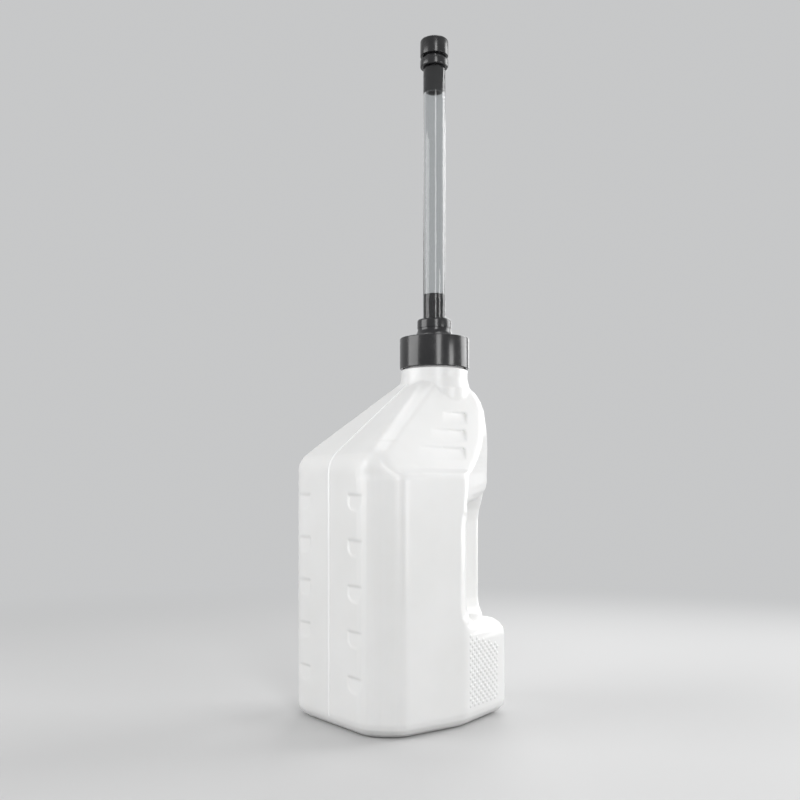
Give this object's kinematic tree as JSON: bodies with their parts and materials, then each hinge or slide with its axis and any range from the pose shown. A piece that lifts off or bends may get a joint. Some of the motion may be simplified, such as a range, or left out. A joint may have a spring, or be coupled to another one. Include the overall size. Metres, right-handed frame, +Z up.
{
  "type": "utility jug",
  "caption": "Hollow moulded liquid jug with a rear grip bar, a sloped shoulder to an offset neck, a screw cap with hose spout, and an upright clear filler hose closed by a small screw cap.",
  "frame": {"origin": "under the middle of the base, on the surface the jug stands on", "axes": "+X to the jug's right side panel, -Y to the graduated front face, +Y to the grip bar, +Z up"},
  "size_m": [0.184, 0.2, 0.7677],
  "materials": {
    "moulded_white": "satin white polyethylene",
    "moulded_black": "gloss black moulded plastic",
    "clear_vinyl": "clear flexible vinyl",
    "seal_rubber": "matt dark rubber"
  },
  "bodies": {
    "jug": {"jug_body": "moulded_white"},
    "cap_seal": {"cap_gasket": "seal_rubber"},
    "filler": {"jug_cap": "moulded_black", "filler_hose": "clear_vinyl", "hose_tip": "moulded_black"},
    "tip_seal": {"hose_cap_seal": "seal_rubber"},
    "tip_cap": {"hose_cap": "moulded_black"}
  },
  "joints": [
    {"name": "cap_lift", "type": "slide", "parent": "jug", "child": "cap_seal", "axis": [0, 0, 1], "range_m": [0, 0.01]},
    {"name": "cap_turn", "type": "hinge", "parent": "cap_seal", "child": "filler", "pos_m": [0, 0.045, 0.4], "axis": [0, 0, 1], "range_deg": [0, 720]},
    {"name": "tip_cap_lift", "type": "slide", "parent": "filler", "child": "tip_seal", "axis": [0, 0, 1], "range_m": [0, 0.006]},
    {"name": "tip_cap_turn", "type": "hinge", "parent": "tip_seal", "child": "tip_cap", "pos_m": [0, 0.045, 0.755], "axis": [0, 0, 1], "range_deg": [0, 720]}
  ],
  "couplings": [
    {"joint": "cap_lift", "follows": "cap_turn", "m_per_rad": 0.00079577},
    {"joint": "tip_cap_lift", "follows": "tip_cap_turn", "m_per_rad": 0.00047746}
  ]
}
